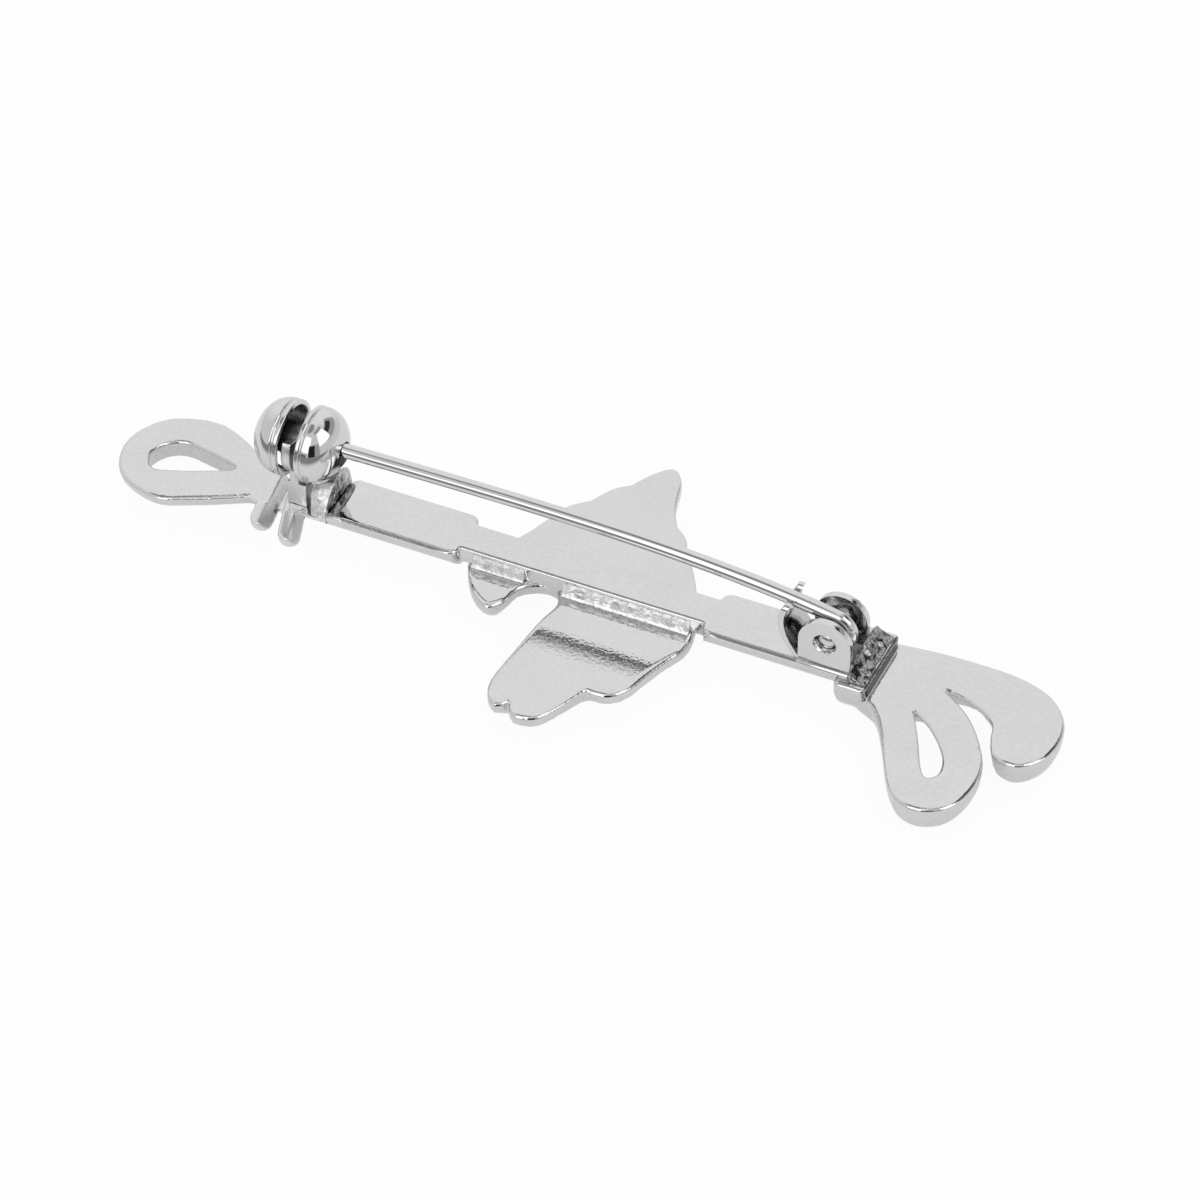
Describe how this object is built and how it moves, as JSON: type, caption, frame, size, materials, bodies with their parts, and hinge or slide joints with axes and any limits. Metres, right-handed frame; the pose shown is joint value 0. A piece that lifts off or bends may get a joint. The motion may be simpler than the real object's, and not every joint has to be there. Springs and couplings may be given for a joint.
{
  "type": "stock pin",
  "caption": "Riding stock tie brooch: a cast hunting-whip bar with a horse head in relief, and on its back a hinged spring-wire pin that a turning ball catch locks.",
  "frame": {"origin": "bottom centre of the closed pin's box, lying on its front", "axes": "+X along the bar from the catch to the hinge, +Y across the bar towards the mane, +Z out of the back"},
  "size_m": [0.0786, 0.0304, 0.0119],
  "materials": {
    "cast_plate": "rhodium-coloured plate over a satin casting",
    "bright_plate": "mirror-bright plate",
    "solder_plate": "grainy plated solder"
  },
  "bodies": {
    "brooch": {"whip_bar": "cast_plate", "horse_head": "cast_plate", "head_solder_face": "solder_plate", "head_solder_ear": "solder_plate", "head_solder_neck": "solder_plate", "hinge_bracket": "bright_plate", "hinge_rivet": "bright_plate", "hinge_solder": "solder_plate", "catch_fork": "cast_plate", "catch_solder": "solder_plate"},
    "stem": {"pin_stem": "bright_plate"},
    "lock": {"lock_sleeve": "bright_plate", "lock_ball_left": "bright_plate", "lock_ball_right": "bright_plate"}
  },
  "joints": [
    {"name": "pin_swing", "type": "hinge", "parent": "brooch", "child": "stem", "pos_m": [0.0209, -0.00057, 0.00675], "axis": [0, 1, 0], "range_deg": [0, 110]},
    {"name": "lock_turn", "type": "hinge", "parent": "brooch", "child": "lock", "pos_m": [-0.02355, -0.00007, 0.0089], "axis": [1, 0, 0], "range_deg": [0, 180]}
  ]
}
